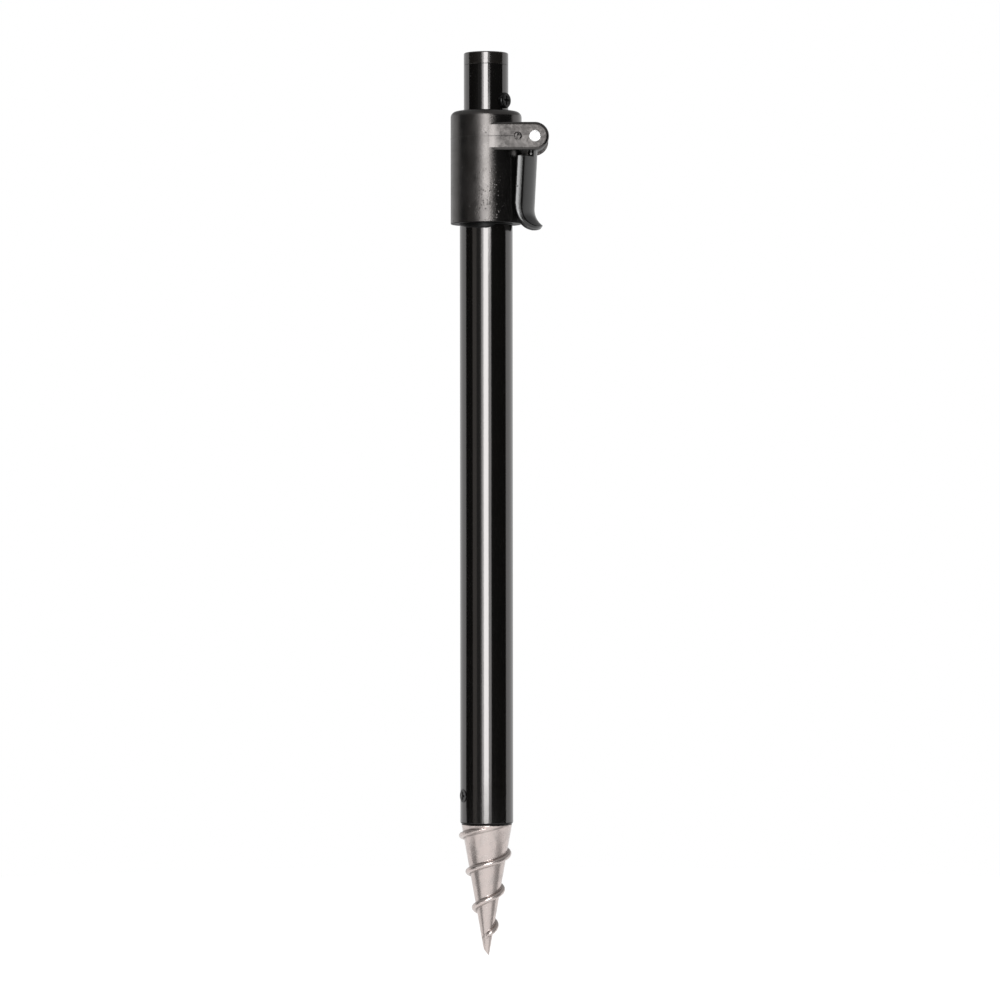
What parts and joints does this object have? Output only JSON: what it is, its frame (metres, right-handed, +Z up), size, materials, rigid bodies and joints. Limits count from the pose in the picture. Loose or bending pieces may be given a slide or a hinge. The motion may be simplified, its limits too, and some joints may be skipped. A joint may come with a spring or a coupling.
{
  "type": "bank stick",
  "caption": "Telescopic bank stick with a screw-in ground spike, a cam-lever tube lock and a threaded top for a rod rest.",
  "frame": {"origin": "tip of the ground spike, on the axis of the tubes", "axes": "+Z up the stick, +X out through the cam lever, -Y towards the face with the lever's front ear"},
  "size_m": [0.0353, 0.0256, 0.325],
  "materials": {
    "cast_metal": "satin as-cast metal",
    "black_steel": "blackened steel",
    "black_tube": "gloss black anodised aluminium",
    "black_rim": "gloss black paint",
    "collar_plastic": "satin moulded plastic",
    "lever_plastic": "semi-gloss moulded plastic",
    "pin_steel": "blackened spring steel",
    "brass": "turned brass",
    "nylon": "natural nylon"
  },
  "bodies": {
    "stick_base": {"spike": "cast_metal", "spike_screw": "black_steel", "outer_tube": "black_tube", "collar_body": "collar_plastic", "pivot_pin": "pin_steel"},
    "lever": {"cam_lever": "lever_plastic"},
    "pad": {"pressure_pad": "brass"},
    "guide": {"tube_guide": "nylon"},
    "inner_stage": {"inner_tube": "black_tube", "top_plug": "black_rim", "thread_bush": "brass", "plug_screw": "black_steel"}
  },
  "joints": [
    {"name": "lever_hinge", "type": "hinge", "parent": "stick_base", "child": "lever", "pos_m": [0.01748, 0, 0.29415], "axis": [0, -1, 0], "range_deg": [0, 110]},
    {"name": "pad_slide", "type": "slide", "parent": "stick_base", "child": "pad", "axis": [1, 0, 0], "range_m": [0, 0.0006]},
    {"name": "extension", "type": "slide", "parent": "stick_base", "child": "guide", "axis": [0, 0, 1], "range_m": [0, 0.2]},
    {"name": "swivel", "type": "hinge", "parent": "guide", "child": "inner_stage", "pos_m": [0, 0, 0.3], "axis": [0, 0, 1], "continuous": true}
  ],
  "couplings": [
    {"joint": "pad_slide", "follows": "lever_hinge", "m_per_rad": 0.00029168}
  ]
}
